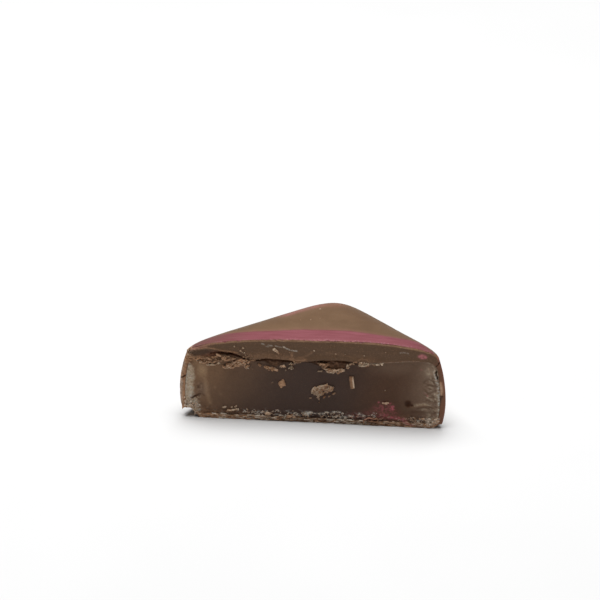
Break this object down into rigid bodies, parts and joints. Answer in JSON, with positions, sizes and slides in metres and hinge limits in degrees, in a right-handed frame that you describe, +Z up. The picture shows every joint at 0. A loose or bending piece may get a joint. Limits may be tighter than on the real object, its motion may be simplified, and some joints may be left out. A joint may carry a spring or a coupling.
{
  "type": "half of a chocolate dipped turkish delight",
  "caption": "Half of a chocolate dipped turkish delight, cut corner to corner: dark jelly in a milk chocolate coat, with a pink lustre stroke along the top of the cut.",
  "frame": {"origin": "on the flat underside, below about the middle of the half, 7 mm behind the cut face", "axes": "+X along the cut, to the right as the cut face is seen; -Y the way the cut face looks; +Z up"},
  "size_m": [0.0424, 0.0216, 0.0147],
  "materials": {
    "milk_chocolate": "satin milk chocolate, matt where cut",
    "rose_jelly": "firm brown jelly, softly shiny where cut",
    "pink_lustre": "brushed pearly pink lustre"
  },
  "bodies": {
    "root": {"chocolate_coat": "milk_chocolate", "turkish_delight": "rose_jelly", "lustre_stroke": "pink_lustre"}
  },
  "joints": []
}
